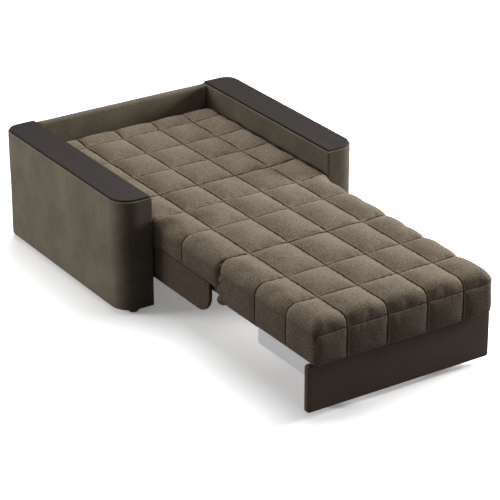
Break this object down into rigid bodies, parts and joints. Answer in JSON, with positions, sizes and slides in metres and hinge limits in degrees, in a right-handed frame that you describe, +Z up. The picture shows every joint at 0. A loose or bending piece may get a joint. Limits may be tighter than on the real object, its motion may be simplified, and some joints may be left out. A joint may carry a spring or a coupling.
{
  "type": "convertible chair bed",
  "caption": "Upholstered chair bed shown open: a quilted three-section mattress runs out between rounded arms with dark wooden tops.",
  "frame": {"origin": "on the floor, under the middle of the open bed", "axes": "+Z up, -Y towards the foot of the open bed, +X to the right as seen from there"},
  "size_m": [1.112, 2.038, 0.484],
  "materials": {
    "quilted_velour": "matte nap",
    "suede": "matte nap",
    "front_suede": "matte nap",
    "foam": "open-cell foam",
    "wenge": "satin veneer",
    "hardboard": "smooth",
    "white_laminate": "satin laminate",
    "black_plastic": "matte",
    "rubber": "matte",
    "birch": "smooth",
    "black_steel": "powder coat",
    "zinc_steel": "zinc plated",
    "pine": "planed",
    "chipboard": "raw"
  },
  "bodies": {
    "base": {"right_arm_cover": "suede", "left_arm_cover": "suede", "right_arm_top": "wenge", "left_arm_top": "wenge", "right_arm_frame": "chipboard", "left_arm_frame": "chipboard", "right_arm_inner_panel": "chipboard", "left_arm_inner_panel": "chipboard", "right_arm_skin": "chipboard", "left_arm_skin": "chipboard", "back_cover": "suede", "back_board": "chipboard", "back_bolts": "zinc_steel", "feet": "black_plastic", "foot_screws": "zinc_steel", "pivot_plates": "zinc_steel", "pivot_plate_screws": "zinc_steel", "cross_rail": "pine", "rest_posts": "pine", "rest_pads": "rubber", "rail_brackets": "zinc_steel"},
    "rear_section": {"rear_mattress_cover": "quilted_velour", "rear_mattress_foam": "foam", "rear_frame": "black_steel", "rear_slats": "birch", "rear_slat_holders": "black_plastic", "rear_pivot_ears": "zinc_steel", "pivot_pins": "zinc_steel", "rear_fold_ears": "zinc_steel"},
    "middle_section": {"middle_mattress_cover": "quilted_velour", "middle_mattress_foam": "foam", "middle_frame": "black_steel", "middle_slats": "birch", "middle_slat_holders": "black_plastic", "middle_fold_ears": "zinc_steel", "fold_pins": "zinc_steel", "middle_seat_ears": "zinc_steel", "right_side_panel_cover": "suede", "left_side_panel_cover": "suede", "right_side_panel_board": "chipboard", "left_side_panel_board": "chipboard"},
    "seat_section": {"seat_mattress_cover": "quilted_velour", "seat_mattress_foam": "foam", "seat_frame": "black_steel", "seat_slats": "birch", "seat_slat_holders": "black_plastic", "seat_ears": "zinc_steel", "seat_pins": "zinc_steel", "right_linen_box_side": "white_laminate", "left_linen_box_side": "white_laminate", "linen_box_rear": "white_laminate", "linen_box_floor": "hardboard", "front_panel_cover": "front_suede", "front_panel_board": "chipboard", "roller_brackets": "zinc_steel", "roller_axles": "zinc_steel"},
    "right_roller": {"right_roller": "black_plastic"},
    "left_roller": {"left_roller": "black_plastic"}
  },
  "joints": [
    {"name": "rear_fold", "type": "hinge", "parent": "base", "child": "rear_section", "pos_m": [0, 0.919, 0.345], "axis": [-1, 0, 0], "range_deg": [0, 86]},
    {"name": "middle_fold", "type": "hinge", "parent": "rear_section", "child": "middle_section", "pos_m": [0, 0.2705, 0.2], "axis": [1, 0, 0], "range_deg": [0, 172]},
    {"name": "seat_fold", "type": "hinge", "parent": "middle_section", "child": "seat_section", "pos_m": [0, -0.378, 0.345], "axis": [-1, 0, 0], "range_deg": [0, 86]},
    {"name": "right_roller_turn", "type": "hinge", "parent": "seat_section", "child": "right_roller", "pos_m": [0.3, -0.931, 0.024], "axis": [1, 0, 0], "continuous": true},
    {"name": "left_roller_turn", "type": "hinge", "parent": "seat_section", "child": "left_roller", "pos_m": [-0.3, -0.931, 0.024], "axis": [1, 0, 0], "continuous": true}
  ],
  "couplings": [
    {"joint": "middle_fold", "follows": "rear_fold", "ratio": 2},
    {"joint": "seat_fold", "follows": "rear_fold", "ratio": 1}
  ]
}
